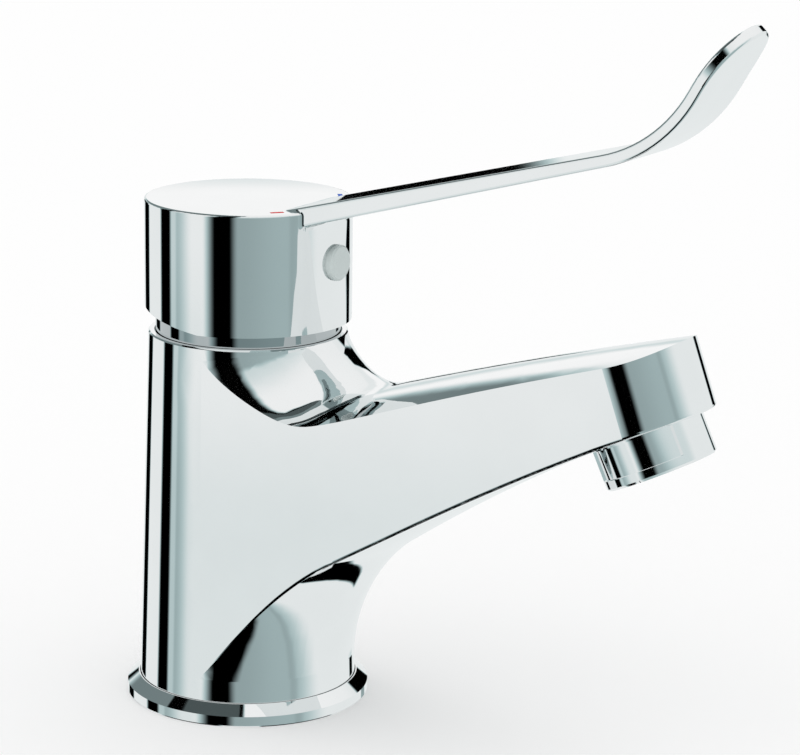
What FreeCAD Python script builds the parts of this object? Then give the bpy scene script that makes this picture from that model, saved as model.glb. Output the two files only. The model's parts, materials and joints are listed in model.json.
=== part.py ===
import FreeCAD, Part
import math
import os

# Basin mixer tap, one hole, single lever.
# Millimetres, Z up. Z is the axis of the round body, X points along the spout,
# and z = 0 is the underside that stands on the basin.

os.makedirs("parts", exist_ok=True)

# Clearances that pieces share
slide_gap = 0.15
running_gap = 0.05
seat_gap = 0.1
open_gap = 0.3
tool_reach = 60.0

# Round body, a slim cone
body_top_z = 84.1
collar_rim_w = 1.3
body_draft = 1.635
body_rim_round = 0.3
rim_tool_w = 3.0

# Spout
spout_lean = 20.0
spout_end_x = 98.5
spout_end_z = 80.0
spout_wall_inset = 0.02

# Top of the spout, a rising arch
crown_x = 50.0
crown_z = 79.95
crown_slope = 17.0
crown_sweep_r = 1100.0
crown_arch_r = 51.5

# Neck that flares from the spout's top up to the collar, ahead and at the sides
neck_floor_z = 68.9
neck_floor_blend = 2.2
neck_front_rise = 12.7
neck_front_reach = 15.0
neck_front_power = 1.05
neck_side_rise = 15.5
neck_side_reach = 8.0
neck_side_power = 0.4
neck_foot_share = 0.015

# Grid of points through which that surface is drawn, in rings round the body
crown_rows = 26
crown_columns = 31
crown_first_step = 0.4
crown_step_growth = 1.163
crown_rear_turn = 100.0
crown_turn_power = 1.25

# Cove under the spout
cove_foot_z = 8.3
cove_foot_r = 39.6
cove_turn = 35.0
cove_sweep_r = 443.0
cove_end_angle = 23.5
spout_edge_round = 0.7

# Foot ring and its gasket
ring_overhang = 2.75
ring_band_h = 2.4
ring_chamfer_h = 2.1
ring_foot_round = 0.3
ring_lip = 0.25
ring_ledge_z = 2.5
ring_ledge_step = 1.2
gasket_inset = 1.75
gasket_w = 4.0
gasket_h = 1.2

# Hollow foot of the body with its threaded holes
foot_wall = 5.1
foot_hollow_z = 30.0
hose_thread_r = 4.5
hose_thread_depth = 8.5
hose_x = 5.0
hose_y = 9.5
stud_thread_r = 3.4
stud_thread_depth = 15.0
stud_x = -12.0
thread_lead = 0.8

# Cartridge bore and the waterways
seat_z = 52.0
cartridge_play = 0.2
nut_bore_step = 1.3
nut_bore_z = 70.0
collar_recess_z = 81.5
inlet_x = 5.5
inlet_y = 8.4
inlet_r = 2.5
outlet_r = 3.4
waterway_z = 36.0
waterway_r = 4.6
peg_r = 2.0
peg_x = -9.0
peg_y = 7.0
peg_depth = 2.5

# Aerator, on an axis that leans with the underside of the spout
aerator_lean = 25.6
aerator_set_out = 4.7
aerator_set_down = 12.8
aerator_r = 12.1
aerator_shown_h = 8.75
aerator_sink = 1.6
aerator_h = 15.8
aerator_thread_r = 11.65
aerator_bore_r = 10.3
aerator_rim_h = 2.2
aerator_rim_round = 0.5
aerator_lip = 0.8
aerator_seat_play = 0.3
spanner_depth = 0.7
spanner_angle = 110.0
insert_h = 11.4
insert_z = 1.8
insert_wall = 1.0
insert_grid_h = 2.4
mesh_hole_r = 0.75
mesh_pitch = 2.0
mesh_rings = 4
strainer_h = 1.2
aerator_gasket_h = 1.5

# Cartridge, on the body axis
housing_r = 17.5
housing_wall = 1.5
housing_shoulder_z = 78.0
housing_top_wall = 2.0
housing_neck_r = 12.9
housing_neck_top_z = 91.6
base_h = 3.0
base_spigot_h = 2.0
seal_h = 1.3
seal_pocket = 1.5
seal_wall = 1.2
seal_play = 0.1
fixed_disc_play = 1.5
moving_disc_r = 12.0
disc_h = 4.0
port_inner_r = 8.3
port_outer_r = 11.3
port_start = 30.0
port_end = 84.0
mixing_r = 7.6
mixing_h = 2.4
disc_offset = -2.3
carrier_h = 4.6
carrier_lug_y = 8.1
carrier_lug_w = 2.0
carrier_lug_l = 12.0
carrier_lug_h = 2.0
carrier_peg_x = -8.5
carrier_peg_y = 5.0
carrier_peg_r = 1.0
carrier_peg_h = 1.0
peg_play = 0.1
guide_play = 0.2
guide_flange_h = 4.9
guide_r = 11.0
guide_top_z = 92.3
guide_slot_w = 8.6
guide_slot_rear = -7.0
guide_slot_front = 8.0
neck_play = 0.2
oring_r = 0.8
oring_z = 81.0

# Lever axis, stem and ball
pivot_z = 86.0
pin_r = 2.0
pin_half = 10.2
stem_w = 8.0
stem_top_z = 107.0
stem_hub_z = 80.6
stem_arm_r = 2.5
ball_r = 3.0
ball_arm = 17.4

# Cartridge nut and the trim collar over it
nut_play = 0.1
nut_thread_top_z = 82.0
nut_flat_inset = 2.9
nut_top_z = 87.8
collar_play = 0.3
collar_wall = 1.3
collar_plate_h = 1.4
collar_hole_r = 14.2
collar_chamfer = 0.5
ring_spigot_h = 1.0

# Cap of the handle
cap_play = 0.7
cap_wall = 1.7
cap_top_z = 113.8
cap_dome = 0.5
cap_rim_round = 0.5
cap_lower_z = 87.0
cap_rise_x = 2.0
cap_rise_angle = 8.3
cap_ceiling_z = 110.4
boss_r = 9.5
boss_z = 96.0
grub_r = 2.5
grub_z = 101.7
grub_l = 5.0
grub_socket_r = 1.4
grub_socket_h = 2.0
cover_r = 3.95
cover_plug_r = 3.1
cover_proud = 1.3
cover_chamfer = 0.4
cover_seat_inset = 0.5
cover_plug_l = 1.6

# Lever blade, bent like a swan neck
lever_half_w = 10.3
lever_top_slope = 14.5
lever_under_out = 2.6
lever_under_drop = 1.6
lever_under_slope = 15.7
lever_reach = 70.0
lever_bend_r = 33.0
lever_steep = 61.0
lever_tip_r = 60.0
lever_tip_slope = 46.3
lever_paddle_h = 2.65
lever_tip_nose = 13.0
lever_tip_spare = 3.5
lever_edge = 0.6
lever_root_round = 1.5
lever_root_in = 11.0

# Hot and cold markers let into the top of the cap
marker_angle = 38.6
marker_inset = 2.7
marker_l = 3.0
marker_w = 1.1
marker_h = 0.8

V = FreeCAD.Vector
Y_AXIS = V(0, 1, 0)
Z_AXIS = V(0, 0, 1)

# Values that follow from the ones above
cartridge_bore_r = housing_r + cartridge_play
nut_bore_r = cartridge_bore_r + nut_bore_step
nut_r = nut_bore_r - nut_play
nut_hex = 2 * (nut_r - nut_flat_inset)
collar_inner_r = nut_bore_r + collar_play
collar_r = collar_inner_r + collar_wall
collar_recess_r = collar_r + open_gap
cap_inner_r = collar_r + cap_play
cap_r = cap_inner_r + cap_wall
taper = math.tan(math.radians(body_draft))
body_top_r = collar_recess_r + collar_rim_w
foot_r = body_top_r + taper * body_top_z
ring_r = foot_r + ring_overhang
gasket_r = ring_r - gasket_inset
gasket_hole_r = gasket_r - gasket_w
foot_hollow_r = foot_r - foot_wall
crown_inner_r = body_top_r - 6 * seat_gap
ring_ledge_r = foot_hollow_r - ring_ledge_step
housing_foot_z = seat_z + base_h
housing_inner_r = housing_r - housing_wall
fixed_disc_r = housing_inner_r - fixed_disc_play
guide_flange_r = housing_inner_r - guide_play
base_top_z = seat_z + base_h + base_spigot_h
fixed_top_z = base_top_z + disc_h
moving_top_z = fixed_top_z + disc_h
guide_z = housing_shoulder_z - housing_top_wall - 0.1 - guide_flange_h
carrier_top_z = moving_top_z + carrier_h
ball_z = pivot_z - ball_arm
aerator_x = spout_end_x + aerator_set_out
aerator_z = spout_end_z - aerator_set_down
cover_seat_x = cap_r - cover_seat_inset
marker_centre_r = cap_r - marker_inset
lever_under_x = cap_r + lever_under_out
lever_under_z = cap_top_z - lever_under_drop
lever_bend_x = cap_r + lever_reach
lever_root_x = cap_r - lever_root_in


def body_r(z):
    return foot_r - taper * z


# Small helpers for round and square stock
def rod(r, z0, z1, x=0.0, y=0.0):
    return Part.makeCylinder(r, z1 - z0, V(x, y, z0), Z_AXIS)


def tube(r, hole_r, z0, z1, x=0.0, y=0.0):
    outside = rod(r, z0, z1, x, y)
    return outside.cut(rod(hole_r, z0 - 1, z1 + 1, x, y))


def block(x0, x1, y0, y1, z0, z1):
    return Part.makeBox(x1 - x0, y1 - y0, z1 - z0, V(x0, y0, z0))


def cross_rod(r, start, end):
    run = end - start
    return Part.makeCylinder(r, run.Length, start, run)


def turned(points):
    outline = Part.makePolygon(points + [points[0]])
    return Part.Face(outline).revolve(V(0, 0, 0), Z_AXIS, 360)


def on_aerator_axis(shape):
    moved = shape.copy()
    moved.rotate(V(0, 0, 0), Y_AXIS, -aerator_lean)
    moved.translate(V(aerator_x, 0, aerator_z))
    return moved


def aerator_point(height):
    lean = math.radians(aerator_lean)
    return V(aerator_x - height * math.sin(lean), 0, aerator_z + height * math.cos(lean))


def edges_in(shape, test):
    found = []
    for edge in shape.Edges:
        if test(edge, edge.BoundBox):
            found.append(edge)
    return found


# Body and spout
def spout_prism():
    lean = math.radians(spout_lean)
    draft = math.radians(body_draft)
    across = V(math.cos(lean), 0, math.sin(lean))
    along = V(-math.sin(lean), 0, math.cos(lean))
    sin_side = taper / math.tan(lean)
    sin_plan = sin_side * math.cos(draft) * math.cos(lean) + math.sin(draft) * math.sin(lean)
    cos_plan = math.sqrt(1 - sin_plan ** 2)
    reach = foot_r * math.cos(draft) - spout_wall_inset
    end_u = spout_end_x * math.cos(lean) + spout_end_z * math.sin(lean)
    end_r = reach - end_u * sin_plan

    def point(u, v):
        return across * u + Y_AXIS * v

    rear_u = -foot_r - tool_reach / 4
    rear_v = (reach - rear_u * sin_plan) / cos_plan
    turn_u = end_u + end_r * sin_plan
    turn_v = end_r * cos_plan
    corners = [point(rear_u, -rear_v), point(turn_u, -turn_v)]
    corners += [point(turn_u, turn_v), point(rear_u, rear_v)]
    nose = Part.Arc(corners[1], point(end_u + end_r, 0), corners[2]).toShape()
    sides = [Part.makeLine(corners[0], corners[1]), nose]
    sides += [Part.makeLine(corners[2], corners[3]), Part.makeLine(corners[3], corners[0])]
    outline = Part.Face(Part.Wire(sides))
    outline.translate(along * -tool_reach / 2)
    prism = outline.extrude(along * (spout_end_z + tool_reach))
    front_of_axis = body_r(seat_z) * sin_side
    far = spout_end_x + tool_reach
    return prism.common(block(front_of_axis, far, -tool_reach, tool_reach, -tool_reach, far))


def crown_height(x, y):
    """The spout's top: a rising arch that flares up the body as its neck."""
    run = x - crown_x
    slope = math.radians(crown_slope)
    ridge = crown_z + run * math.tan(slope) - (run / math.cos(slope)) ** 2 / (2 * crown_sweep_r)
    arch = ridge - crown_arch_r + math.sqrt(crown_arch_r ** 2 - y ** 2)
    level = (arch + neck_floor_z + math.hypot(arch - neck_floor_z, neck_floor_blend)) / 2
    plan_r = math.hypot(x, y)
    ahead = (max(x, 0) / plan_r) ** 2
    rise = neck_side_rise + (neck_front_rise - neck_side_rise) * ahead
    reach = neck_side_reach + (neck_front_reach - neck_side_reach) * ahead
    power = neck_side_power + (neck_front_power - neck_side_power) * ahead
    near = max(1 - (plan_r - body_top_r) / reach, 0)
    bent = min(near, 1 - neck_foot_share)
    steep = 2 * power * bent * (1 - bent ** 2) ** (power - 1)
    return level + rise * (1 - (1 - bent ** 2) ** power + steep * (near - bent))


def crown_block():
    rows = []
    plan_r = crown_inner_r
    for row in range(crown_rows):
        half_turn = math.radians(crown_rear_turn) * (crown_inner_r / plan_r) ** crown_turn_power
        points = []
        for column in range(crown_columns):
            turn = half_turn * (2 * column / (crown_columns - 1) - 1)
            x = plan_r * math.cos(turn)
            y = plan_r * math.sin(turn)
            points.append(V(x, y, crown_height(x, y)))
        rows.append(points)
        plan_r += crown_first_step * crown_step_growth ** row
    surface = Part.BSplineSurface()
    surface.interpolate(rows)
    return surface.toShape().extrude(Z_AXIS * (-2 * tool_reach))


def cove_cutter():
    start_r = body_r(cove_foot_z) - running_gap
    turn = math.radians(90 - cove_turn)

    def foot_point(angle):
        out = cove_foot_r * (1 - math.cos(angle))
        return V(start_r + out, 0, cove_foot_z + cove_foot_r * math.sin(angle))

    joint = foot_point(turn)
    first = math.radians(cove_turn)
    last = math.radians(cove_end_angle)
    centre = joint + V(math.sin(first), 0, -math.cos(first)) * cove_sweep_r

    def sweep_point(angle):
        return centre + V(-math.sin(angle), 0, math.cos(angle)) * cove_sweep_r

    start = foot_point(0)
    end = sweep_point(last)
    out = V(end.x + tool_reach, 0, end.z)
    low_out = V(out.x, 0, -tool_reach)
    low_in = V(start_r - cove_foot_z / 2, 0, -tool_reach)
    sides = [Part.Arc(start, foot_point(turn / 2), joint).toShape()]
    sides.append(Part.Arc(joint, sweep_point((first + last) / 2), end).toShape())
    sides += [Part.makeLine(end, out), Part.makeLine(out, low_out)]
    sides += [Part.makeLine(low_out, low_in), Part.makeLine(low_in, start)]
    return Part.Face(Part.Wire(sides)).revolve(V(0, 0, 0), Z_AXIS, 360)


def casting():
    spout = spout_prism().cut(cove_cutter())

    def is_underside(edge, box):
        across = box.YMax - box.YMin > 1 and edge.Length > 20
        return across and box.XMin > foot_r + 3 and box.ZMax < crown_z + 10

    spout = spout.makeFillet(spout_edge_round, edges_in(spout, is_underside))
    far = spout_end_x + tool_reach
    keep = block(-tool_reach, far, -tool_reach, tool_reach, ring_ledge_z, body_top_z)
    above = block(crown_x, far, -tool_reach, tool_reach, body_top_z - 1, far)
    spout = spout.common(crown_block()).common(keep.fuse(above))
    foot = V(0, 0, ring_ledge_z)
    cone = Part.makeCone(body_r(ring_ledge_z), body_r(body_top_z), body_top_z - ring_ledge_z, foot, Z_AXIS)

    inner_r = body_top_r - body_rim_round
    outer_r = body_top_r + rim_tool_w
    rim = [V(inner_r, 0, body_top_z), V(outer_r, 0, body_top_z - outer_r + inner_r)]
    rim += [V(outer_r, 0, body_top_z + 1), V(inner_r, 0, body_top_z + 1)]
    return cone.fuse(spout).cut(turned(rim))


def hole_from_below(r, x, y, z0, z1):
    hole = rod(r, z0 - 1, z1, x, y)
    lead = Part.makeCone(r + thread_lead, r, thread_lead, V(x, y, z0), Z_AXIS)
    return hole.fuse(lead)


def aerator_socket():
    deep = aerator_h + aerator_gasket_h
    recess_top = aerator_shown_h + aerator_sink
    thread = rod(aerator_thread_r + running_gap, 2, deep)
    mouth = rod(aerator_r + open_gap, 2, recess_top)
    return on_aerator_axis(thread.fuse(mouth))


def make_body():
    body = casting()
    cuts = [rod(cartridge_bore_r, seat_z, nut_bore_z + 1), rod(nut_bore_r, nut_bore_z, collar_recess_z + 1)]
    cuts.append(rod(collar_recess_r, collar_recess_z, body_top_z + 20))
    cuts.append(rod(foot_hollow_r, -1, foot_hollow_z))
    for side in (-1, 1):
        top = foot_hollow_z + hose_thread_depth
        cuts.append(hole_from_below(hose_thread_r, hose_x, side * hose_y, foot_hollow_z, top))
        cuts.append(rod(inlet_r, top - 1, seat_z + 1, inlet_x, side * inlet_y))
        cuts.append(rod(peg_r + seat_gap, seat_z - peg_depth - seat_gap, seat_z + 1, peg_x, side * peg_y))
    stud_top = foot_hollow_z + stud_thread_depth
    cuts.append(hole_from_below(stud_thread_r, stud_x, 0, foot_hollow_z, stud_top))
    cuts.append(rod(outlet_r, waterway_z, seat_z + 1))
    cuts.append(cross_rod(waterway_r, V(0, 0, waterway_z), aerator_point(aerator_h)))
    cuts.append(aerator_socket())
    for cut in cuts:
        body = body.cut(cut)
    return body


# Foot ring
def make_base_ring():
    top = ring_band_h + ring_chamfer_h
    recess_r = body_r(ring_ledge_z) + seat_gap
    profile = [V(ring_ledge_r, 0, 0), V(ring_r - ring_foot_round, 0, 0), V(ring_r, 0, ring_foot_round)]
    profile += [V(ring_r, 0, ring_band_h), V(recess_r + ring_lip, 0, top)]
    profile += [V(recess_r, 0, top), V(recess_r, 0, ring_ledge_z), V(ring_ledge_r, 0, ring_ledge_z)]
    return turned(profile).cut(tube(gasket_r, gasket_hole_r, -1, gasket_h))


def make_base_gasket():
    return tube(gasket_r, gasket_hole_r, 0, gasket_h)


# Cartridge
def make_cartridge_base():
    base = rod(housing_r, seat_z, seat_z + base_h)
    base = base.fuse(rod(housing_inner_r - seat_gap, seat_z + base_h, base_top_z))
    for side in (-1, 1):
        base = base.fuse(rod(peg_r, seat_z - peg_depth, seat_z + 1, peg_x, side * peg_y))
        base = base.cut(rod(inlet_r, seat_z - 5, base_top_z + 1, inlet_x, side * inlet_y))
        pocket_r = inlet_r + seal_pocket
        base = base.cut(rod(pocket_r, seat_z - 5, seat_z + seal_h, inlet_x, side * inlet_y))
        base = base.cut(rod(pocket_r, base_top_z - seal_h, base_top_z + 1, inlet_x, side * inlet_y))
    base = base.cut(rod(outlet_r, seat_z - 5, base_top_z + 1))
    base = base.cut(rod(outlet_r + seal_pocket, seat_z - 5, seat_z + seal_h))
    return base.cut(rod(outlet_r + seal_pocket, base_top_z - seal_h, base_top_z + 1))


def seal_trio(z0):
    def seal(hole_r, x, y):
        outside = hole_r + seal_pocket - seal_play
        return tube(outside, outside - seal_wall, z0, z0 + seal_h, x, y)

    seals = [seal(inlet_r, inlet_x, side * inlet_y) for side in (-1, 1)]
    return seals + [seal(outlet_r, 0, 0)]


def make_cartridge_housing():
    shell = rod(housing_r, housing_foot_z, housing_shoulder_z)
    shell = shell.fuse(rod(housing_neck_r, housing_shoulder_z - 1, housing_neck_top_z))
    shell = shell.cut(rod(housing_inner_r, housing_foot_z - 1, housing_shoulder_z - housing_top_wall))
    shell = shell.cut(rod(guide_r + neck_play, housing_foot_z, housing_neck_top_z + 1))
    return shell


def port_sector(r_out, r_in, z0, z1, side):
    sweep = port_end - port_start
    outer = Part.makeCylinder(r_out, z1 - z0, V(0, 0, z0), Z_AXIS, sweep)
    inner = rod(r_in, z0 - 1, z1 + 1)
    port = outer.cut(inner)
    turn = port_start if side > 0 else -port_end
    port.rotate(V(0, 0, 0), Z_AXIS, turn)
    return port


def make_fixed_disc():
    disc = rod(fixed_disc_r, base_top_z, fixed_top_z)
    for side in (-1, 1):
        disc = disc.cut(port_sector(port_outer_r, port_inner_r, base_top_z - 1, fixed_top_z + 1, side))
    return disc.cut(rod(outlet_r - 0.4, base_top_z - 1, fixed_top_z + 1))


def make_moving_disc():
    disc = rod(moving_disc_r, fixed_top_z, moving_top_z, disc_offset)
    disc = disc.cut(rod(mixing_r, fixed_top_z - 1, fixed_top_z + mixing_h))
    for side in (-1, 1):
        hole_r = carrier_peg_r + peg_play
        hole_x = disc_offset + carrier_peg_x
        hole_z = moving_top_z - carrier_peg_h - 2 * peg_play
        disc = disc.cut(rod(hole_r, hole_z, moving_top_z + 1, hole_x, side * carrier_peg_y))
    return disc


def make_disc_carrier():
    plate = rod(moving_disc_r, moving_top_z, carrier_top_z, disc_offset)
    half = ball_r + 0.2
    plate = plate.cut(block(-half, half, -half - 0.1, half + 0.1, moving_top_z - 1, carrier_top_z + 1))
    for side in (-1, 1):
        near = side * carrier_lug_y - carrier_lug_w / 2
        start = disc_offset - carrier_lug_l / 2
        end = disc_offset + carrier_lug_l / 2
        top = guide_z + carrier_lug_h
        plate = plate.fuse(block(start, end, near, near + carrier_lug_w, carrier_top_z - 1, top))
        lug_peg_x = disc_offset + carrier_peg_x
        peg_z = moving_top_z - carrier_peg_h
        peg = rod(carrier_peg_r, peg_z, moving_top_z + 1, lug_peg_x, side * carrier_peg_y)
        plate = plate.fuse(peg)
    return plate


def make_stem_guide():
    guide = rod(guide_flange_r, guide_z, guide_z + guide_flange_h)
    guide = guide.fuse(rod(guide_r, guide_z + guide_flange_h - 1, guide_top_z))
    half = guide_slot_w / 2
    guide = guide.cut(block(guide_slot_rear, guide_slot_front, -half, half, guide_z - 1, guide_top_z + 1))
    for side in (-1, 1):
        mid = side * carrier_lug_y
        wide = carrier_lug_w / 2 + slide_gap
        top = guide_z + carrier_lug_h + slide_gap
        guide = guide.cut(block(-tool_reach, tool_reach, mid - wide, mid + wide, guide_z - 1, top))
    groove_r = guide_r + neck_play - 2 * oring_r
    guide = guide.cut(tube(guide_r + 1, groove_r, oring_z - oring_r, oring_z + oring_r))
    return guide.cut(cross_rod(pin_r, V(0, -20, pivot_z), V(0, 20, pivot_z)))


def make_guide_seal():
    out = guide_r + neck_play
    lip = oring_r / 2
    low = oring_z - oring_r
    high = oring_z + oring_r
    profile = [V(out - 2 * oring_r, 0, low + lip), V(out - oring_r, 0, low), V(out, 0, low + lip)]
    profile += [V(out, 0, high - lip), V(out - oring_r, 0, high), V(out - 2 * oring_r, 0, high - lip)]
    return turned(profile)


def make_pivot_pin():
    return cross_rod(pin_r, V(0, -pin_half, pivot_z), V(0, pin_half, pivot_z))


def make_stem():
    half = stem_w / 2
    stem = block(-half, half, -half, half, stem_hub_z, stem_top_z)
    stem = stem.fuse(rod(stem_arm_r, ball_z, stem_hub_z + 1))
    stem = stem.fuse(Part.makeSphere(ball_r, V(0, 0, ball_z)))
    return stem.cut(cross_rod(pin_r + running_gap, V(0, -20, pivot_z), V(0, 20, pivot_z)))


# Cartridge nut, trim collar and its centring ring
def make_cartridge_nut():
    nut = rod(nut_r, housing_shoulder_z, nut_thread_top_z)
    corner = nut_hex / 2 / math.cos(math.radians(30))
    corners = []
    for step in range(7):
        turn = math.radians(60 * step)
        corners.append(V(corner * math.cos(turn), corner * math.sin(turn), nut_thread_top_z - 1))
    hexagon = Part.Face(Part.makePolygon(corners)).extrude(V(0, 0, nut_top_z - nut_thread_top_z + 1))
    nut = nut.fuse(hexagon)
    return nut.cut(rod(housing_neck_r + open_gap, housing_shoulder_z - 1, nut_top_z + 1))


def make_trim_collar():
    top = nut_top_z + collar_plate_h
    collar = rod(collar_r, collar_recess_z + open_gap, top)
    collar = collar.makeChamfer(collar_chamfer, edges_in(collar, lambda edge, box: box.ZMin > top - 0.1))
    collar = collar.cut(rod(collar_inner_r, collar_recess_z - 1, nut_top_z))
    return collar.cut(rod(collar_hole_r, nut_top_z - 1, top + 1))


def make_centring_ring():
    plate_z = nut_top_z + collar_plate_h
    inner = housing_neck_r + seat_gap
    ring = tube(collar_hole_r + 1.6, inner, plate_z, plate_z + 1)
    return ring.fuse(tube(collar_hole_r - seat_gap, inner, plate_z - ring_spigot_h, plate_z + 0.5))


# Aerator, drawn upright and then leant over
def spanner_cut():
    sectors = []
    recess_h = aerator_shown_h - aerator_rim_h
    for middle in (90, 270):
        outer = Part.makeCylinder(aerator_r + 1, recess_h, V(0, 0, aerator_rim_h), Z_AXIS, spanner_angle)
        sector = outer.cut(rod(aerator_r - spanner_depth, 0, aerator_shown_h + 1))
        sector.rotate(V(0, 0, 0), Z_AXIS, middle - spanner_angle / 2)
        sectors.append(sector)
    return sectors


def make_aerator_housing():
    shell = rod(aerator_r, 0, aerator_shown_h + aerator_sink - aerator_seat_play)
    shell = shell.makeChamfer(aerator_rim_round, edges_in(shell, lambda edge, box: box.ZMax < 0.1))
    for sector in spanner_cut():
        shell = shell.cut(sector)
    shell = shell.fuse(rod(aerator_thread_r, aerator_shown_h, aerator_h))
    shell = shell.cut(rod(aerator_bore_r, insert_z, aerator_h + 1))
    shell = shell.cut(rod(aerator_bore_r - aerator_lip, -1, insert_z + 1))
    return on_aerator_axis(shell)


def grid_points(pitch, rings):
    points = []
    for row in range(-rings, rings + 1):
        for step in range(-rings, rings + 1):
            if abs(row + step) <= rings:
                points.append((pitch * (step + row / 2), pitch * row * math.sqrt(3) / 2))
    return points


def hex_hole(x, y, r, z0, z1):
    corners = []
    for step in range(7):
        turn = math.radians(60 * step)
        corners.append(V(x + r * math.cos(turn), y + r * math.sin(turn), z0))
    return Part.Face(Part.makePolygon(corners)).extrude(V(0, 0, z1 - z0))


def make_aerator_insert():
    top = insert_z + insert_h
    outside = aerator_bore_r - seat_gap
    insert = rod(outside, insert_z, top)
    insert = insert.cut(rod(outside - insert_wall, insert_z + insert_grid_h, top + 1))
    holes = []
    for x, y in grid_points(mesh_pitch, mesh_rings):
        holes.append(hex_hole(x, y, mesh_hole_r, insert_z - 1, insert_z + insert_grid_h + 1))
    return on_aerator_axis(insert.cut(Part.makeCompound(holes)))


def make_aerator_strainer():
    base = insert_z + insert_h
    plate = rod(aerator_bore_r - seat_gap, base, base + strainer_h)
    holes = []
    for x, y in grid_points(mesh_pitch * 1.6, mesh_rings - 2):
        holes.append(hex_hole(x, y, mesh_hole_r, base - 1, base + strainer_h + 1))
    return on_aerator_axis(plate.cut(Part.makeCompound(holes)))


def make_aerator_gasket():
    ring = tube(aerator_thread_r - 0.2, aerator_bore_r - 2.0, aerator_h, aerator_h + aerator_gasket_h)
    return on_aerator_axis(ring)


# Handle: the cap and the lever blade are one casting
def lever_blade():
    under = math.radians(lever_under_slope)
    steep = math.radians(lever_steep)
    tip = math.radians(lever_tip_slope)
    top = math.radians(lever_top_slope)
    bend_z = lever_under_z + (lever_bend_x - lever_under_x) * math.tan(under)
    bend = V(lever_bend_x, 0, bend_z)
    centre = bend + V(-math.sin(under), 0, math.cos(under)) * lever_bend_r

    def bend_point(angle, thickness):
        return centre + V(math.sin(angle), 0, -math.cos(angle)) * (lever_bend_r - thickness)

    tip_centre = bend_point(steep, 0) + V(math.sin(steep), 0, -math.cos(steep)) * lever_tip_r

    def tip_point(angle, thickness):
        return tip_centre + V(-math.sin(angle), 0, math.cos(angle)) * (lever_tip_r + thickness)

    thick = lever_paddle_h
    root_under = bend - V(math.cos(under), 0, math.sin(under)) * (lever_bend_x - lever_root_x)
    top_bend = bend_point(top, thick)
    root_top = top_bend - V(math.cos(top), 0, math.sin(top)) * (lever_bend_x - lever_root_x)
    sides = [Part.makeLine(root_under, bend)]
    sides.append(Part.Arc(bend, bend_point((under + steep) / 2, 0), bend_point(steep, 0)).toShape())
    end = tip - math.radians(lever_tip_spare)
    middle = (steep + end) / 2
    sides.append(Part.Arc(bend_point(steep, 0), tip_point(middle, 0), tip_point(end, 0)).toShape())
    sides.append(Part.makeLine(tip_point(end, 0), tip_point(end, thick)))
    last = Part.Arc(tip_point(end, thick), tip_point(middle, thick), tip_point(steep, thick))
    sides.append(last.toShape())
    bend_middle = bend_point((top + steep) / 2, thick)
    sides.append(Part.Arc(bend_point(steep, thick), bend_middle, top_bend).toShape())
    sides += [Part.makeLine(top_bend, root_top), Part.makeLine(root_top, root_under)]
    outline = Part.Face(Part.Wire(sides))
    outline.translate(V(0, -lever_half_w - 1, 0))
    blade = outline.extrude(V(0, 2 * lever_half_w + 2, 0))
    blade = blade.common(lever_plan(tip_point(tip, 0), tip))
    nose_x = tip_point(tip, 0).x - lever_tip_nose

    def is_rim(edge, box):
        level = abs(box.YMax - box.YMin) < 0.01
        side = level and box.YMax ** 2 > (lever_half_w - 0.01) ** 2 and edge.Length > thick + 1
        nose = box.XMin > nose_x and box.YMax - box.YMin > lever_half_w / 2
        return side or nose

    return blade.makeFillet(lever_edge, edges_in(blade, is_rim))


def lever_plan(tip_end, tilt):
    """The blade's outline seen square to its tip: straight sides and a half ellipse."""
    along = V(math.cos(tilt), 0, math.sin(tilt))
    normal = V(-math.sin(tilt), 0, math.cos(tilt))
    nose_foot = tip_end - along * lever_tip_nose
    rear = nose_foot - along * tool_reach * 2
    side = Y_AXIS * lever_half_w
    ellipse = Part.Ellipse(tip_end, nose_foot + side, nose_foot)
    nose = Part.ArcOfEllipse(ellipse, -math.pi / 2, math.pi / 2).toShape()
    ends = [nose.valueAt(nose.FirstParameter), nose.valueAt(nose.LastParameter)]
    rear_ends = [rear + Y_AXIS * ends[0].y, rear + Y_AXIS * ends[1].y]
    outline = [nose, Part.makeLine(ends[1], rear_ends[1]), Part.makeLine(rear_ends[1], rear_ends[0])]
    outline.append(Part.makeLine(rear_ends[0], ends[0]))
    plan = Part.Face(Part.Wire(outline))
    plan.translate(normal * -tool_reach * 2)
    return plan.extrude(normal * tool_reach * 4)


def cap_solid():
    dome_r = (cap_r ** 2 + cap_dome ** 2) / (2 * cap_dome)
    cap = rod(cap_r, cap_lower_z - 5, cap_top_z + cap_dome)
    dome = Part.makeSphere(dome_r, V(0, 0, cap_top_z + cap_dome - dome_r))
    cap = cap.common(dome)

    def is_rim(edge, box):
        return box.ZMin > cap_top_z - 0.01 and box.ZMax < cap_top_z + 0.01 and edge.Length > cap_r

    return cap.makeFillet(cap_rim_round, edges_in(cap, is_rim))


def rise_cutter():
    cutter = block(-tool_reach, tool_reach, -tool_reach, tool_reach, -tool_reach, 0)
    cutter.rotate(V(0, 0, 0), Y_AXIS, cap_rise_angle)
    cutter.translate(V(cap_rise_x, 0, cap_lower_z))
    rear = cutter.common(block(-tool_reach, cap_rise_x, -tool_reach, tool_reach, 0, cap_top_z))
    front = block(cap_rise_x - 1, tool_reach, -tool_reach, tool_reach, 0, cap_lower_z)
    return rear.fuse(front)


def marker_place(shape, side):
    placed = shape.copy()
    placed.rotate(V(0, 0, 0), Z_AXIS, side * marker_angle)
    return placed


def marker_bar(extra, depth):
    half_l = marker_l / 2 + extra
    half_w = marker_w / 2 + extra
    low = cap_top_z - depth
    high = cap_top_z + cap_dome + 1
    return block(marker_centre_r - half_w, marker_centre_r + half_w, -half_l, half_l, low, high)


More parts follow.
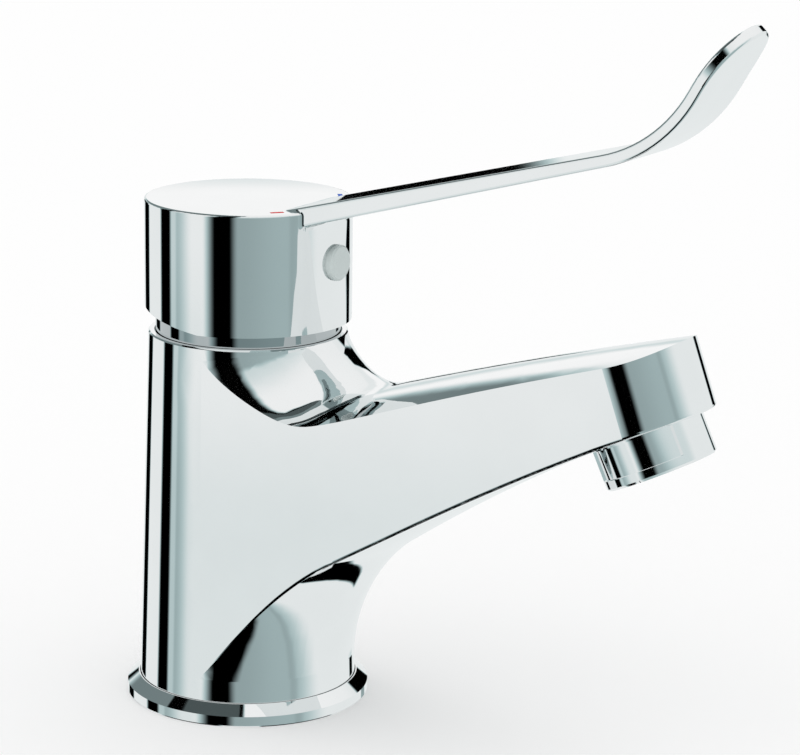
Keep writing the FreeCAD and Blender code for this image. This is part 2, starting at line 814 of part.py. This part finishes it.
def make_handle():
    handle = cap_solid().fuse(lever_blade())

    def is_root(edge, box):
        below_rim = box.ZMin < cap_top_z - cap_rim_round - 0.1
        on_cap = box.XMin > cap_r - 3 and box.XMax < cap_r + 0.1 and box.ZMin > cap_top_z - 4
        width = max(abs(box.YMax), abs(box.YMin))
        return below_rim and on_cap and width < lever_half_w + 0.1

    handle = handle.makeFillet(lever_root_round, edges_in(handle, is_root))
    handle = handle.cut(rod(cap_inner_r, cap_lower_z - 10, cap_ceiling_z))
    handle = handle.cut(rise_cutter())
    boss = rod(boss_r, boss_z, cap_ceiling_z + 1)
    handle = handle.fuse(boss)
    half = stem_w / 2 + running_gap
    handle = handle.cut(block(-half, half, -half, half, boss_z - 1, stem_top_z + open_gap))
    boss_wall = V(boss_r + 1, 0, grub_z)
    outside = V(cap_r + tool_reach, 0, grub_z)
    handle = handle.cut(cross_rod(grub_r, V(0, 0, grub_z), boss_wall))
    handle = handle.cut(cross_rod(cover_plug_r + seat_gap, boss_wall, outside))
    handle = handle.cut(cross_rod(cover_r + seat_gap, V(cover_seat_x, 0, grub_z), outside))
    for side in (-1, 1):
        handle = handle.cut(marker_place(marker_bar(0, marker_h), side))
    return handle


def make_marker(side):
    bar = marker_bar(-0.03, marker_h - 0.05).common(cap_solid())
    return marker_place(bar, side)


def make_grub_screw():
    start = stem_w / 2
    screw = cross_rod(grub_r - running_gap, V(start, 0, grub_z), V(start + grub_l, 0, grub_z))
    socket = hex_hole(0, 0, grub_socket_r, 0, grub_socket_h + 1)
    socket.rotate(V(0, 0, 0), Y_AXIS, 90)
    socket.translate(V(start + grub_l - grub_socket_h, 0, grub_z))
    return screw.cut(socket)


def make_screw_cover():
    face = cap_r + cover_proud
    disc = cross_rod(cover_r, V(cover_seat_x, 0, grub_z), V(face, 0, grub_z))
    disc = disc.makeChamfer(cover_chamfer, edges_in(disc, lambda edge, box: box.XMin > face - 0.1))
    plug_start = V(cover_seat_x - cover_plug_l, 0, grub_z)
    return disc.fuse(cross_rod(cover_plug_r, plug_start, V(cover_seat_x + 0.5, 0, grub_z)))


# Writing the pieces
pieces = {
    "body": make_body(),
    "base_ring": make_base_ring(),
    "base_gasket": make_base_gasket(),
    "cartridge_base": make_cartridge_base(),
    "seat_seals": Part.makeCompound(seal_trio(seat_z)),
    "disc_seals": Part.makeCompound(seal_trio(base_top_z - seal_h)),
    "cartridge_housing": make_cartridge_housing(),
    "fixed_disc": make_fixed_disc(),
    "moving_disc": make_moving_disc(),
    "disc_carrier": make_disc_carrier(),
    "stem_guide": make_stem_guide(),
    "guide_seal": make_guide_seal(),
    "pivot_pin": make_pivot_pin(),
    "stem": make_stem(),
    "cartridge_nut": make_cartridge_nut(),
    "trim_collar": make_trim_collar(),
    "centring_ring": make_centring_ring(),
    "handle": make_handle(),
    "grub_screw": make_grub_screw(),
    "screw_cover": make_screw_cover(),
    "hot_marker": make_marker(-1),
    "cold_marker": make_marker(1),
    "aerator_housing": make_aerator_housing(),
    "aerator_insert": make_aerator_insert(),
    "aerator_strainer": make_aerator_strainer(),
    "aerator_gasket": make_aerator_gasket(),
}

for name, shape in pieces.items():
    shape.exportStep("parts/" + name + ".step")
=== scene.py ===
import json
import math
import bpy
from mathutils import Matrix, Vector

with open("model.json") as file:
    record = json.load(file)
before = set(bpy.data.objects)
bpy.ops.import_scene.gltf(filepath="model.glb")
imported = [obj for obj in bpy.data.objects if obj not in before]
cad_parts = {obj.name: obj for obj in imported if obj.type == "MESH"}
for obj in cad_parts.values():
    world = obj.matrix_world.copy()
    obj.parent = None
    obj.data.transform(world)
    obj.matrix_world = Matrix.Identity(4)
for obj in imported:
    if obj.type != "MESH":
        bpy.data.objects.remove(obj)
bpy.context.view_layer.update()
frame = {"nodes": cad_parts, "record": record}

bl_info = {
    "name": "Basin mixer tap",
    "version": (1, 0, 0),
    "blender": (4, 5, 0),
    "location": "3D View > Sidebar > Tap",
    "description": "Finishes a packed basin mixer tap and sets up its studio",
    "category": "Object",
}

recorded = {entry["slot"]: entry["base_color"] for entry in frame["record"]["materials"]}


# Shader maths

class Signal:
    """A shader socket that can stand in an expression."""

    def __init__(self, sheet, socket):
        self.sheet = sheet
        self.socket = socket

    def maths(self, operation, *others):
        made = self.sheet.node("ShaderNodeMath", {"operation": operation})
        for number, value in enumerate((self,) + others):
            self.sheet.feed(made.inputs[number], value)
        return self.sheet.out(made)

    def __add__(self, other):
        return self.maths("ADD", other)

    def __radd__(self, other):
        return self + other

    def __sub__(self, other):
        return self.maths("SUBTRACT", other)

    def __rsub__(self, other):
        return self * -1 + other

    def __mul__(self, other):
        return self.maths("MULTIPLY", other)

    def __rmul__(self, other):
        return self * other

    def most(self, other):
        return self.maths("MAXIMUM", other)

    def ramp(self, low, high, start=0.0, end=1.0):
        """Goes smoothly from start to end while this value goes from low to high."""
        made = self.sheet.node(
            "ShaderNodeMapRange", {"interpolation_type": "SMOOTHSTEP"},
            Value=self, From_Min=low, From_Max=high, To_Min=start, To_Max=end)
        return self.sheet.out(made, "Result")

    def band(self, low, high, soft, far_soft=None):
        """1 where this value lies between two edges, with a soft change at each."""
        far_soft = far_soft or soft
        return (self - low).ramp(-soft, soft) * (self - high).ramp(-far_soft, far_soft, 1.0, 0.0)

    def over(self, other, mask):
        """This value where the mask is 1, and the other value where it is 0."""
        return other * (1.0 - mask) + self * mask


class Sheet:
    """The node tree of one material or world."""

    def __init__(self, owner):
        owner.use_nodes = True
        self.tree = owner.node_tree
        self.tree.nodes.clear()

    def node(self, kind, settings=None, **sockets):
        """Any node, by its type, its settings, and the values or links of its sockets."""
        made = self.tree.nodes.new(kind)
        for name, value in (settings or {}).items():
            setattr(made, name, value)
        for name, value in sockets.items():
            self.feed(made.inputs[name.replace("_", " ")], value)
        return made

    def feed(self, socket, value):
        """Gives a socket its value, which may be a link."""
        if isinstance(value, Signal):
            self.tree.links.new(value.socket, socket)
        else:
            socket.default_value = value

    def out(self, made, name=0):
        return Signal(self, made.outputs[name])

    def noise(self, where, scale, detail=2.0, rough=0.5):
        made = self.node(
            "ShaderNodeTexNoise", Vector=where, Scale=scale, Detail=detail, Roughness=rough)
        return self.out(made, "Fac")

    def place(self, stretch=(1, 1, 1)):
        """Object coordinates in metres, stretched."""
        coords = self.node("ShaderNodeTexCoord")
        mapping = self.node("ShaderNodeMapping", Vector=self.out(coords, "Object"), Scale=stretch)
        return self.out(mapping, "Vector")

    def split(self, vector):
        made = self.node("ShaderNodeSeparateXYZ", Vector=vector)
        return [self.out(made, name) for name in "XYZ"]

    def blend_colours(self, factor, first, second):
        made = self.node("ShaderNodeMix", {"data_type": "RGBA"})
        sockets = {socket.identifier: socket for socket in (*made.inputs, *made.outputs)}
        self.feed(sockets["Factor_Float"], factor)
        self.feed(sockets["A_Color"], (*first, 1.0))
        self.feed(sockets["B_Color"], (*second, 1.0))
        return Signal(self, sockets["Result_Color"])

    def bump(self, height, strength, distance):
        made = self.node("ShaderNodeBump", Height=height, Strength=strength, Distance=distance)
        return self.out(made, "Normal")

    def end(self, made, kind="ShaderNodeOutputMaterial"):
        self.node(kind, Surface=self.out(made))


# Finishes

def shade_between(sheet, factor, tint, darker):
    """The tint, down to a darker tint of the same kind where the factor is low."""
    return sheet.blend_colours(factor, [value * darker for value in tint], tint)


def chrome(name, tint, finishes):
    """Polished plating: a mirror with faint haze, wiping marks and a slight unevenness of the casting."""
    material = bpy.data.materials.new(name)
    sheet = Sheet(material)
    where = sheet.place()
    haze = sheet.noise(where, 90.0, detail=3.0)
    wiped = sheet.place(stretch=(1.0, 1.0, 0.25))
    smears = sheet.noise(wiped, 260.0, detail=4.0, rough=0.6)
    waves = sheet.noise(where, 45.0, detail=1.0)
    added = 0.012  # Roughness that haze and smears each add at most
    surface = sheet.node(
        "ShaderNodeBsdfPrincipled",
        Base_Color=shade_between(sheet, haze.ramp(0.3, 0.7), tint, 0.985),
        Metallic=1.0,
        Roughness=finishes.plating_haze + haze.ramp(0.35, 0.75) * added + smears.ramp(0.5, 0.8) * added,
        Normal=sheet.bump(waves, 0.2, finishes.casting_ripple),
    )
    sheet.end(surface)
    return material


def grained(name, tint, roughness, grain, depth, metallic=0.0, gleam=0.5, stretch=(1, 1, 1), darker=0.85):
    """A finish with a grain: moulded plastic, rubber, ceramic, enamel, drawn steel or turned brass.

    The grain is in cells per metre and the depth in metres. The stretch pulls the grain into streaks.
    """
    material = bpy.data.materials.new(name)
    sheet = Sheet(material)
    fine = sheet.noise(sheet.place(stretch=stretch), grain, detail=4.0, rough=0.6)
    broad = sheet.noise(sheet.place(), 120.0)
    surface = sheet.node(
        "ShaderNodeBsdfPrincipled",
        Base_Color=shade_between(sheet, fine.ramp(0.3, 0.7), tint, darker),
        Metallic=metallic,
        Roughness=roughness + broad.ramp(0.3, 0.7) * 0.08,
        Specular_IOR_Level=gleam,
        Normal=sheet.bump(fine, 0.3, depth),
    )
    sheet.end(surface)
    return material


def dress(names, material):
    for name in names:
        mesh = frame["nodes"][name].data
        mesh.materials.clear()
        mesh.materials.append(material)


# Sizes and colours that a user would change

def colour(name, description, default):
    return bpy.props.FloatVectorProperty(
        name=name, description=description, subtype="COLOR", size=3, min=0.0, max=1.0, default=default)


def length(name, description, default):
    return bpy.props.FloatProperty(
        name=name, description=description, min=0.0, unit="LENGTH", default=default)


def angle(name, description, default):
    return bpy.props.FloatProperty(name=name, description=description, subtype="ANGLE", default=default)


class TAP_PG_finishes(bpy.types.PropertyGroup):
    plating: colour("Plating", "Colour of the chrome on body, handle and trim", (0.9, 0.91, 0.912))
    # Painted shade: the collar's plating is darkened to stand in for the shadow in the gap under the cap
    collar_plating: colour("Collar plating", "Colour of the darker plating on the collar", (0.5, 0.53, 0.54))
    plating_haze: bpy.props.FloatProperty(
        name="Plating haze", description="Lowest roughness of the chrome",
        default=0.03, min=0.0, max=1.0, subtype="FACTOR")
    casting_ripple: length("Casting ripple", "Height of the unevenness that polishing leaves", 0.00001)
    cover: colour("Screw cover", "Colour of the plug over the grub screw", (0.66, 0.73, 0.72))
    hot: colour("Hot marker", "Colour of the marker for hot water", recorded["marker_red"])
    cold: colour("Cold marker", "Colour of the marker for cold water", recorded["marker_blue"])
    cartridge: colour(
        "Cartridge", "Colour of the cartridge's base, housing and carrier", recorded["cartridge_plastic"])
    guide: colour("Stem guide", "Colour of the stem guide and the centring ring", recorded["guide_plastic"])
    insert: colour("Aerator insert", "Colour of the honeycomb and the strainer", recorded["insert_plastic"])
    discs: colour("Discs", "Colour of the ceramic discs", recorded["ceramic"])
    rubber: colour("Rubber", "Colour of the seals and gaskets", recorded["rubber"])
    steel: colour("Steel", "Colour of the stem, the pin and the grub screw", recorded["steel"])
    brass: colour("Brass", "Colour of the cartridge nut", recorded["brass"])


class TAP_PG_studio(bpy.types.PropertyGroup):
    floor_colour: colour("Floor", "Colour of the floor", (0.99, 0.99, 0.99))
    floor_size: length("Floor size", "Side of the square floor", 6.0)
    distance: length("Camera distance", "From the tap's axis to the camera, seen from above", 0.6518)
    height: length("Camera height", "Height of the camera above the basin", 0.2339)
    side: angle("Camera side", "Turn of the camera about the tap's axis", math.radians(34))
    heading: angle("Camera heading", "Turn of the line of sight", math.radians(31.02))
    pitch: angle("Camera pitch", "How far the camera looks down", 0.242)
    roll: angle("Camera roll", "Turn about the line of sight", 0.014)
    lens: bpy.props.FloatProperty(
        name="Lens", description="Focal length in millimetres",
        default=135.0, min=10.0, subtype="DISTANCE_CAMERA")
    sensor: bpy.props.FloatProperty(
        name="Sensor", description="Width of the sensor in millimetres",
        default=36.0, min=5.0, subtype="DISTANCE_CAMERA")


# Pieces

class TAP_OT_body(bpy.types.Operator):
    """Plates the body"""
    bl_idname = "tap.body"
    bl_label = "Body"

    def execute(self, context):
        finishes = context.scene.tap_finishes
        dress(["body"], chrome("chrome_body", finishes.plating, finishes))
        return {"FINISHED"}


class TAP_OT_handle(bpy.types.Operator):
    """Plates the handle, cap and lever in one"""
    bl_idname = "tap.handle"
    bl_label = "Handle"

    def execute(self, context):
        finishes = context.scene.tap_finishes
        dress(["handle"], chrome("chrome_handle", finishes.plating, finishes))
        return {"FINISHED"}


class TAP_OT_trim(bpy.types.Operator):
    """Plates the base ring and the aerator's housing"""
    bl_idname = "tap.trim"
    bl_label = "Base ring and aerator housing"

    def execute(self, context):
        finishes = context.scene.tap_finishes
        dress(["base_ring", "aerator_housing"], chrome("chrome_trim", finishes.plating, finishes))
        return {"FINISHED"}


class TAP_OT_collar(bpy.types.Operator):
    """Gives the collar a darker plating, which is painted shade for the gap between cap and body"""
    bl_idname = "tap.collar"
    bl_label = "Trim collar"

    def execute(self, context):
        finishes = context.scene.tap_finishes
        # The darker tint is painted shade, not a different plating
        dress(["trim_collar"], chrome("collar_plating", finishes.collar_plating, finishes))
        return {"FINISHED"}


class TAP_OT_cover(bpy.types.Operator):
    """Finishes the plug over the grub screw"""
    bl_idname = "tap.cover"
    bl_label = "Screw cover"

    def execute(self, context):
        finishes = context.scene.tap_finishes
        plug = grained(
            "cover_plastic", finishes.cover, roughness=0.3, grain=2500.0, depth=0.00001, darker=0.95)
        dress(["screw_cover"], plug)
        return {"FINISHED"}


class TAP_OT_markers(bpy.types.Operator):
    """Enamels the hot and the cold marker"""
    bl_idname = "tap.markers"
    bl_label = "Markers"

    def execute(self, context):
        finishes = context.scene.tap_finishes
        for node, slot, tint in (
                ("hot_marker", "marker_red", finishes.hot),
                ("cold_marker", "marker_blue", finishes.cold)):
            dress([node], grained(slot, tint, roughness=0.5, grain=1500.0, depth=0.00001, gleam=0.05))
        return {"FINISHED"}


class TAP_OT_insert(bpy.types.Operator):
    """Finishes the aerator's honeycomb and strainer"""
    bl_idname = "tap.insert"
    bl_label = "Aerator insert"

    def execute(self, context):
        finishes = context.scene.tap_finishes
        plastic = grained("insert_plastic", finishes.insert, roughness=0.4, grain=2000.0, depth=0.00003)
        dress(["aerator_insert", "aerator_strainer"], plastic)
        return {"FINISHED"}


class TAP_OT_cartridge(bpy.types.Operator):
    """Finishes the moulded pieces of the cartridge"""
    bl_idname = "tap.cartridge"
    bl_label = "Cartridge"

    def execute(self, context):
        finishes = context.scene.tap_finishes
        dark = grained("cartridge_plastic", finishes.cartridge, roughness=0.5, grain=2500.0, depth=0.00004)
        pale = grained("guide_plastic", finishes.guide, roughness=0.45, grain=2500.0, depth=0.00003)
        dress(["cartridge_base", "cartridge_housing", "disc_carrier"], dark)
        dress(["stem_guide", "centring_ring"], pale)
        return {"FINISHED"}


class TAP_OT_discs(bpy.types.Operator):
    """Finishes the two lapped discs"""
    bl_idname = "tap.discs"
    bl_label = "Ceramic discs"

    def execute(self, context):
        finishes = context.scene.tap_finishes
        lapped = grained("ceramic", finishes.discs, roughness=0.18, grain=4000.0, depth=0.00001)
        dress(["fixed_disc", "moving_disc"], lapped)
        return {"FINISHED"}


class TAP_OT_seals(bpy.types.Operator):
    """Finishes the seals and gaskets"""
    bl_idname = "tap.seals"
    bl_label = "Seals and gaskets"

    def execute(self, context):
        finishes = context.scene.tap_finishes
        rubber = grained("rubber", finishes.rubber, roughness=0.65, grain=3000.0, depth=0.00005)
        dress(["base_gasket", "seat_seals", "disc_seals", "guide_seal", "aerator_gasket"], rubber)
        return {"FINISHED"}


class TAP_OT_steel(bpy.types.Operator):
    """Finishes the stem, the pivot pin and the grub screw with drawing marks along them"""
    bl_idname = "tap.steel"
    bl_label = "Stem, pin and grub screw"

    def execute(self, context):
        finishes = context.scene.tap_finishes
        drawn = grained(
            "steel", finishes.steel, roughness=0.25, grain=900.0, depth=0.00001,
            metallic=1.0, stretch=(1, 1, 0.05))
        dress(["stem", "pivot_pin", "grub_screw"], drawn)
        return {"FINISHED"}


class TAP_OT_nut(bpy.types.Operator):
    """Finishes the cartridge nut with turning marks round it"""
    bl_idname = "tap.nut"
    bl_label = "Cartridge nut"

    def execute(self, context):
        finishes = context.scene.tap_finishes
        turned = grained(
            "brass", finishes.brass, roughness=0.28, grain=700.0, depth=0.00001,
            metallic=1.0, stretch=(0.1, 0.1, 3))
        dress(["cartridge_nut"], turned)
        return {"FINISHED"}


# Studio

class TAP_OT_studio(bpy.types.Operator):
    """Builds the floor, the surroundings and the camera"""
    bl_idname = "tap.studio"
    bl_label = "Studio"

    def execute(self, context):
        studio = context.scene.tap_studio
        make_floor(studio)
        make_surroundings(context.scene, studio)
        make_camera(context.scene, studio)
        context.scene.view_settings.view_transform = "Standard"
        return {"FINISHED"}


def make_floor(studio):
    bpy.ops.object.select_all(action="DESELECT")
    bpy.ops.mesh.primitive_plane_add(size=studio.floor_size, location=(0, 0, 0))
    floor = bpy.context.object
    floor.name = "floor"
    floor.visible_glossy = False
    material = bpy.data.materials.new("floor")
    sheet = Sheet(material)
    sheet.end(sheet.node("ShaderNodeBsdfDiffuse", Color=(*studio.floor_colour, 1)))
    floor.data.materials.append(material)


def hang_cards(turn, behind, rise):
    """Where the dark cards hang round the tap: 1 on a card and 0 beside it.

    All three are angles in degrees. Turn is 0 on the camera's side and behind is 0 on the far side. Both grow
    anticlockwise, seen from above. Rise goes up from the horizon. Left and right are as the camera sees them.
    """
    above = rise.most(0.0)
    beneath = (-22 - rise).most(0.0)
    near_left = above * 0.2 - beneath * 0.1 - 45
    near_right = above * 0.06 + beneath * 0.68 - 16
    far_lean = (rise + 14).most(0.0) * -0.6
    neck_lean = rise * -1.15 - 15
    cards = (
        # Broad card on the left of the camera, wider towards the ground
        turn.band(near_left, near_right, 7.5, 5),
        # Tall card on the left
        turn.band(-112.5, -95.5, 2.0) * rise.ramp(55, 65, 1, 0),
        # Low card behind the tap, on the left
        behind.band(19, 38, 1.5) * rise.ramp(4, 10, 1, 0),
        # Narrow slot just under the horizon, behind the tap
        behind.band(-4.5, 1.5, 0.5) * rise.band(-6.3, -3.3, 0.4),
        # Leaning card behind the tap, on the right
        behind.band(far_lean - 39, far_lean - 28, 1.0) * rise.band(-20, 1, 1.5),
        # Card near the ground, mirrored by the arch under the spout
        behind.band(-37, -10, 1.5) * rise.ramp(-43, -41, 1, 0),
        # Leaning card over the horizon, mirrored by the neck above the spout
        behind.band(neck_lean - 6, neck_lean + 6.5, 1.0) * rise.band(1.5, 25, 1.0),
        # Ceiling on the left
        turn.band(-112, -19, 3.0) * rise.ramp(36, 46) * 0.9,
        # Corner behind the tap, on the left
        turn.band(-172, -108, 3.0) * rise.ramp(6, 16) * 0.75,
    )
    dark = cards[0]
    for card in cards[1:]:
        dark = dark.most(card)
    return dark


def tone_walls(turn, behind, rise):
    """How light the walls are that the plating mirrors, before the cards are hung."""
    tone = rise.ramp(0, 60, 0.88, 0.94)

    # Left wall, darker away from the camera, with a paler strip
    strip = turn.band(-95, -87, 2.0) * 0.15
    left = turn.ramp(-86, -64, 0.46, 0.82) + strip + rise.ramp(-14, -11, 0.0, 0.08)
    tone = left.over(tone, turn.band(-104, -50, 4, 9) * rise.ramp(0, 40, 1, 0))

    # Grey wall on the right, whose top edge climbs to the right, with a faint haze over it
    edge = rise - turn * 0.12 - 13.5
    along = turn + (rise + 11).most(0.0) * 0.3
    fold = along.band(46, 54, 3.0) * 0.06
    right = along.ramp(-15, 40, 0.39, 0.47) + along.ramp(46, 84, 0.0, 0.4) - fold
    tone = right.over(tone, turn.ramp(-30, -20) * edge.ramp(-4, 4, 1, 0))
    haze = turn.band(-30, 70, 12) * edge.ramp(-4, 4) * rise.ramp(14, 55, 1, 0)
    tone = tone - haze * 0.16

    # Back wall, greyer just above the horizon
    back = rise.ramp(3, 10, 0.72, 0.98)
    return back.over(tone, behind.band(-30, 30, 8) * rise.band(2, 20, 3))


def make_surroundings(scene, studio):
    """A plain white room, in which the plating mirrors dark cards and grey walls.

    Only mirror rays see them, and only at the first reflection. Later reflections see plain greys.
    """
    world = bpy.data.worlds.new("studio")
    scene.world = world
    sheet = Sheet(world)
    paths = sheet.node("ShaderNodeLightPath")
    coords = sheet.node("ShaderNodeTexCoord")
    east, north, up = sheet.split(sheet.out(coords, "Generated"))
    to_camera = studio.side - math.pi / 2
    turn = (north.maths("ARCTAN2", east) - to_camera).maths("WRAP", math.pi, -math.pi) * math.degrees(1)
    behind = (turn + 180).maths("WRAP", 180.0, -180.0)
    rise = up.maths("ARCSINE") * math.degrees(1)

    tone = tone_walls(turn, behind, rise) * (1.0 - hang_cards(turn, behind, rise))
    depth = sheet.out(paths, "Ray Depth")
    later = depth.ramp(3.2, 4.8, 0.86, 0.3)
    tone = later.over(tone, depth.ramp(2.2, 2.8))
    glossy = sheet.out(paths, "Is Glossy Ray")
    level = tone * glossy + (1.0 - glossy)

    # Darker tones lean to a cool blue-green
    shade = sheet.node(
        "ShaderNodeCombineColor",
        Red=level * level.ramp(0.48, 1.0, 0.77, 1.0),
        Green=level * level.ramp(0.3, 1.0, 0.98, 1.0),
        Blue=level)
    backdrop = sheet.node("ShaderNodeBackground", Color=sheet.out(shade), Strength=1.0)
    sheet.end(backdrop, "ShaderNodeOutputWorld")


def make_camera(scene, studio):
    data = bpy.data.cameras.new("camera")
    data.lens = studio.lens
    data.sensor_width = studio.sensor
    data.clip_start = 0.01
    camera = bpy.data.objects.new("camera", data)
    scene.collection.objects.link(camera)
    sight = Vector((
        -math.cos(studio.pitch) * math.sin(studio.heading),
        math.cos(studio.pitch) * math.cos(studio.heading),
        -math.sin(studio.pitch)))
    level_right = sight.cross(Vector((0, 0, 1))).normalized()
    right = level_right * math.cos(studio.roll) + level_right.cross(sight) * math.sin(studio.roll)
    over = right.cross(sight)
    turned = Matrix((right, over, -sight)).transposed().to_4x4()
    turned.translation = (
        studio.distance * math.sin(studio.side), -studio.distance * math.cos(studio.side), studio.height)
    camera.matrix_world = turned
    scene.camera = camera


# Panel and registration

pieces = (
    TAP_OT_body, TAP_OT_handle, TAP_OT_trim, TAP_OT_collar, TAP_OT_cover, TAP_OT_markers, TAP_OT_insert,
    TAP_OT_cartridge, TAP_OT_discs, TAP_OT_seals, TAP_OT_steel, TAP_OT_nut)


class TAP_PT_panel(bpy.types.Panel):
    bl_label = "Basin mixer tap"
    bl_idname = "TAP_PT_panel"
    bl_space_type = "VIEW_3D"
    bl_region_type = "UI"
    bl_category = "Tap"

    def draw(self, context):
        for group in (context.scene.tap_finishes, context.scene.tap_studio):
            for name in group.__annotations__:
                self.layout.prop(group, name)
        for operator in pieces + (TAP_OT_studio,):
            self.layout.operator(operator.bl_idname)


classes = (TAP_PG_finishes, TAP_PG_studio) + pieces + (TAP_OT_studio, TAP_PT_panel)


def register():
    for kind in classes:
        bpy.utils.register_class(kind)
    bpy.types.Scene.tap_finishes = bpy.props.PointerProperty(type=TAP_PG_finishes)
    bpy.types.Scene.tap_studio = bpy.props.PointerProperty(type=TAP_PG_studio)


def unregister():
    del bpy.types.Scene.tap_studio
    del bpy.types.Scene.tap_finishes
    for kind in reversed(classes):
        bpy.utils.unregister_class(kind)


def main():
    register()
    bpy.ops.tap.body()
    bpy.ops.tap.handle()
    bpy.ops.tap.trim()
    bpy.ops.tap.collar()
    bpy.ops.tap.cover()
    bpy.ops.tap.markers()
    bpy.ops.tap.insert()
    bpy.ops.tap.cartridge()
    bpy.ops.tap.discs()
    bpy.ops.tap.seals()
    bpy.ops.tap.steel()
    bpy.ops.tap.nut()
    bpy.ops.tap.studio()


if __name__ == "__main__":
    main()
